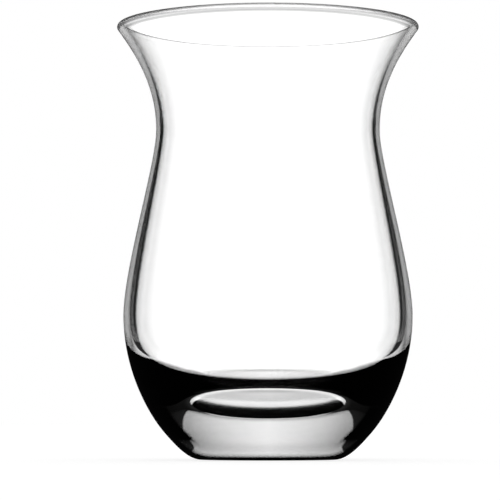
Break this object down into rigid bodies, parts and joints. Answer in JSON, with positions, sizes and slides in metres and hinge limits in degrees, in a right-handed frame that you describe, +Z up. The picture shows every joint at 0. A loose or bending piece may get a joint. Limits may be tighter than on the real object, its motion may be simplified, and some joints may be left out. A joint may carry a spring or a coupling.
{
  "type": "tea glass",
  "caption": "Small clear tea glass with a flared rim, narrow waist, round belly and heavy solid base, shown empty.",
  "frame": {"origin": "centre of the flat foot, on the surface that the glass stands on", "axes": "+Z up along the axis of the glass, +X and +Y across it"},
  "size_m": [0.066, 0.066, 0.095],
  "materials": {
    "clear_glass": "clear, fire-polished"
  },
  "bodies": {
    "root": {"glass": "clear_glass"}
  },
  "joints": []
}
